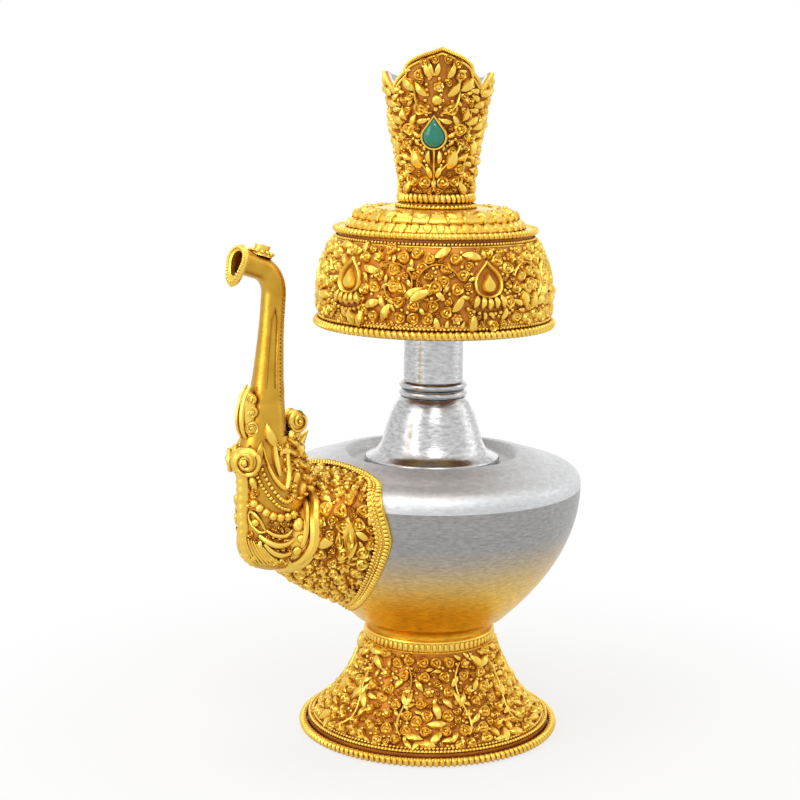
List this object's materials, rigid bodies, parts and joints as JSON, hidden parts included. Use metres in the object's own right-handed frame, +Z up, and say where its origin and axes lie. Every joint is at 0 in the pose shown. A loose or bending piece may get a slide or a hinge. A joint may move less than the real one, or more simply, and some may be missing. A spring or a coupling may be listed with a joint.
{
  "type": "spouted ritual vase",
  "caption": "Bumpa water vase with a silver bowl on a flared gilt foot, a makara-headed spout, a loose drum-shaped hood on the neck and a leafed crown that holds a sprinkler.",
  "frame": {"origin": "centre of the foot, on the surface that the vase stands on", "axes": "+Z up the vase's axis, -X from the axis towards the spout, +Y to the right of the spout seen from outside it"},
  "size_m": [0.1395, 0.1052, 0.2395],
  "materials": {
    "gilt": "gilded filigree, satin with bright edges",
    "dark_gilt": "gilded plate, darkened behind the filigree",
    "silver": "satin silver with fine level marks",
    "dull_silver": "matte silver",
    "turquoise": "polished opaque stone"
  },
  "bodies": {
    "vase": {"foot_skirt": "dark_gilt", "foot_scrollwork": "gilt", "foot_rope": "gilt", "foot_bead_wire": "gilt", "foot_collar": "gilt", "body_bowl": "silver", "body_shoulder": "silver", "neck_bell": "silver", "neck_moulding_lower": "silver", "neck_moulding_upper": "silver", "neck_tube": "silver", "spout_shield": "gilt", "shield_border": "gilt", "makara_head": "gilt", "makara_trunk": "gilt", "makara_jaw": "gilt", "makara_eyes": "gilt", "makara_fins": "gilt", "spout_calyx": "gilt", "spout_tube": "gilt", "spout_bend": "gilt", "spout_nozzle": "gilt", "spout_mouth_rim": "gilt", "spout_boss": "gilt"},
    "hood_sleeve": {"hood_sleeve": "silver"},
    "hood": {"hood_hub": "dark_gilt", "hood_drum": "dark_gilt", "hood_scrollwork": "gilt", "hood_jewels": "gilt", "hood_rope": "gilt", "hood_bead_wire": "gilt", "cavetto_bead_wire": "gilt", "hood_top_plate": "dark_gilt", "hood_top_rope": "gilt", "lotus_tier_lower": "gilt", "lotus_tier_upper": "gilt", "crown_socket": "dark_gilt", "crown_seat_rope": "gilt"},
    "crown_tenon": {"crown_tenon": "silver"},
    "crown": {"crown_base": "dark_gilt", "crown_rope": "gilt", "crown_cup": "gilt", "crown_lining": "dull_silver", "stone_bezel": "gilt", "turquoise_stone": "turquoise"}
  },
  "joints": [
    {"name": "hood_lift", "type": "slide", "parent": "vase", "child": "hood_sleeve", "axis": [0, 0, 1], "range_m": [0, 0.04]},
    {"name": "hood_turn", "type": "hinge", "parent": "hood_sleeve", "child": "hood", "pos_m": [0, 0, 0.16], "axis": [0, 0, 1], "continuous": true},
    {"name": "crown_lift", "type": "slide", "parent": "hood", "child": "crown_tenon", "axis": [0, 0, 1], "range_m": [0, 0.04]},
    {"name": "crown_turn", "type": "hinge", "parent": "crown_tenon", "child": "crown", "pos_m": [0, 0, 0.19], "axis": [0, 0, 1], "continuous": true}
  ]
}
